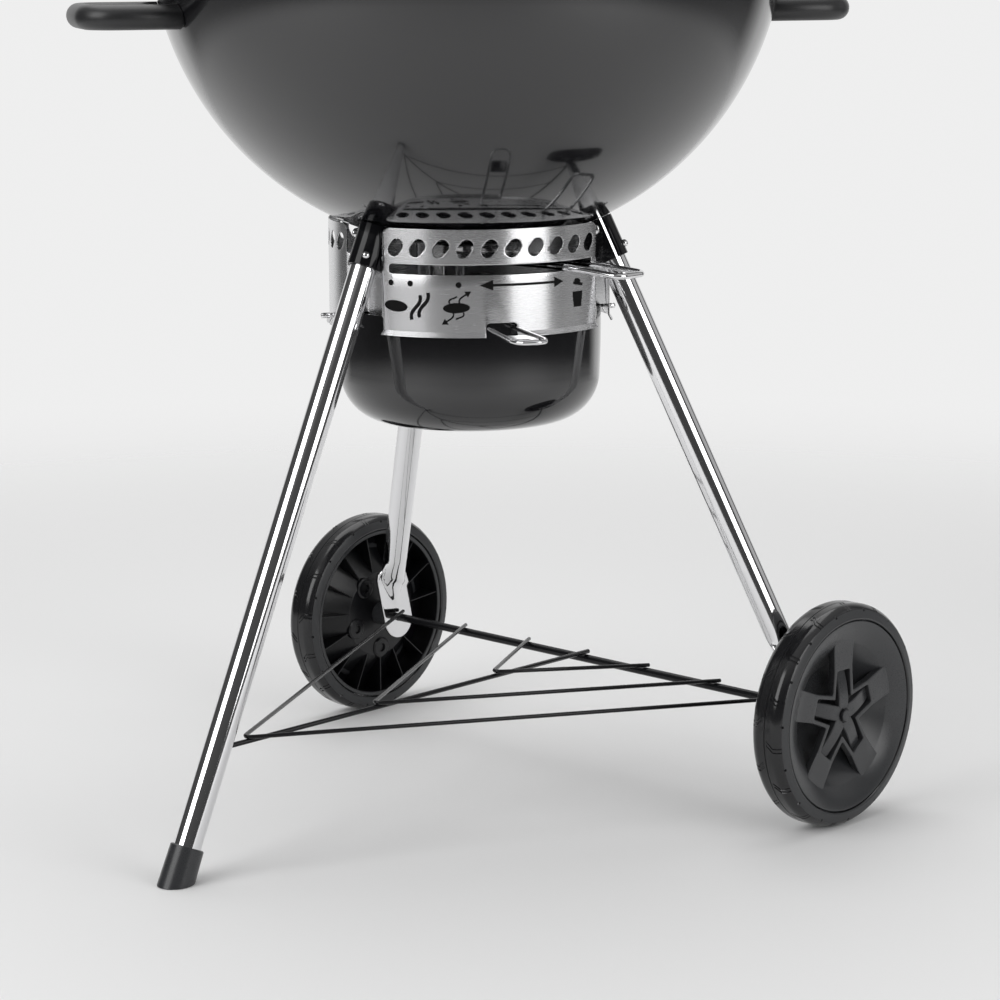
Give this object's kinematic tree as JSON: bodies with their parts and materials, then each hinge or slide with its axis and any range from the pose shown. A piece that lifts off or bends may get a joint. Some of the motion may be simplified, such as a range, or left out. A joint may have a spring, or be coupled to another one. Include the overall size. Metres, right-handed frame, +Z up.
{
  "type": "kettle charcoal grill",
  "caption": "Round kettle charcoal grill on tubular legs with wheels, lift-off lid, vent ring with ash lever, drop-out ash bucket and a wire rack below.",
  "frame": {"origin": "on the floor, under the middle of the whole grill's box", "axes": "+Z up; -Y to the front, where the vent ring's long slot and the levers are; +X to the right-hand side handle and the nearer wheel"},
  "size_m": [0.7468, 0.6982, 1.068],
  "materials": {
    "enamel": "gloss porcelain enamel on steel",
    "clamp_enamel": "gloss black",
    "grip": "satin moulded plastic",
    "chrome": "bright plated steel",
    "stainless": "brushed stainless steel",
    "damper_aluminium": "satin aluminium",
    "rack_black": "semi-gloss black",
    "tyre": "satin, moulded tread",
    "wheel_plastic": "fine-grained moulded plastic",
    "foot_plastic": "satin moulded plastic",
    "grate_steel": "plated steel wire"
  },
  "bodies": {
    "stand": {"bowl": "enamel", "handle_left": "grip", "handle_right": "grip", "leg_front": "chrome", "leg_right": "chrome", "leg_rear": "chrome", "foot_cap": "foot_plastic", "clamp_shell_front": "clamp_enamel", "clamp_saddle_front": "clamp_enamel", "clamp_bolt_front": "chrome", "clamp_rivet_front": "chrome", "clamp_shell_right": "clamp_enamel", "clamp_saddle_right": "clamp_enamel", "clamp_bolt_right": "chrome", "clamp_rivet_right": "chrome", "clamp_shell_rear": "clamp_enamel", "clamp_saddle_rear": "clamp_enamel", "clamp_bolt_rear": "chrome", "clamp_rivet_rear": "chrome", "vent_ring": "stainless", "axle": "rack_black", "rack_spine": "rack_black", "rack_wire_1": "rack_black", "rack_wire_2": "rack_black", "rack_wire_3": "rack_black", "charcoal_grate": "grate_steel", "cooking_grate": "grate_steel"},
    "lid": {"lid": "enamel", "lid_handle": "grip", "lid_damper_rivet": "chrome"},
    "damper": {"lid_damper": "damper_aluminium"},
    "bucket": {"ash_bucket": "enamel", "bail": "stainless", "bail_plate": "stainless"},
    "sweeper": {"sweeper_hub": "stainless", "sweeper_blade_1": "stainless", "sweeper_blade_2": "stainless", "sweeper_blade_3": "stainless", "lever_arm": "stainless", "lever_loop": "stainless", "sweeper_nut": "chrome"},
    "wheel_right": {"tyre_right": "tyre", "wheel_hub_right": "wheel_plastic", "hub_cap_right": "wheel_plastic"},
    "wheel_rear": {"tyre_rear": "tyre", "wheel_hub_rear": "wheel_plastic", "hub_cap_rear": "wheel_plastic"}
  },
  "joints": [
    {"name": "lid_lift", "type": "slide", "parent": "stand", "child": "lid", "axis": [0, 0, 1], "range_m": [0, 0.3]},
    {"name": "damper_turn", "type": "hinge", "parent": "lid", "child": "damper", "pos_m": [0.09648, -0.19972, 0.95634], "axis": [0.379, -0.4851, 0.788], "range_deg": [0, 60]},
    {"name": "bucket_drop", "type": "slide", "parent": "stand", "child": "bucket", "axis": [0, 0, 1], "range_m": [-0.16, 0]},
    {"name": "sweeper_turn", "type": "hinge", "parent": "stand", "child": "sweeper", "pos_m": [-0.01341, -0.05908, 0.52], "axis": [0, 0, 1], "range_deg": [-71.5, 0]},
    {"name": "wheel_right_spin", "type": "hinge", "parent": "stand", "child": "wheel_right", "pos_m": [0.27838, -0.24371, 0.1032], "axis": [-0.5, 0.866, 0], "continuous": true},
    {"name": "wheel_rear_spin", "type": "hinge", "parent": "stand", "child": "wheel_rear", "pos_m": [-0.02741, 0.28594, 0.1032], "axis": [-0.5, 0.866, 0], "continuous": true}
  ]
}
